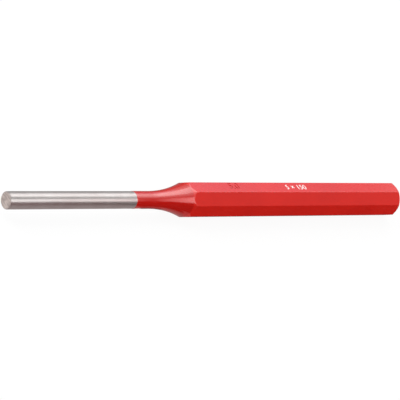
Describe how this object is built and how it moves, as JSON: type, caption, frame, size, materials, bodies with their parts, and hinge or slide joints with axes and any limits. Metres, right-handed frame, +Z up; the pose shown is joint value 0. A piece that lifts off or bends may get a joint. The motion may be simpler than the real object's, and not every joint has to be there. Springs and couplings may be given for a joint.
{
  "type": "pin punch",
  "caption": "Solid punch for driving out pins: a painted octagonal shank runs down through scalloped flats and a hollow flare to a bare round pin.",
  "frame": {"origin": "centre of the pin's tip face, on the bar's axis", "axes": "+X along the bar from the tip to the struck end, +Z up with the punch lying on one flat, +Y across it"},
  "size_m": [0.15, 0.01, 0.01],
  "materials": {
    "red_paint": "satin"
  },
  "bodies": {
    "root": {"pin_punch": "red_paint"}
  },
  "joints": []
}
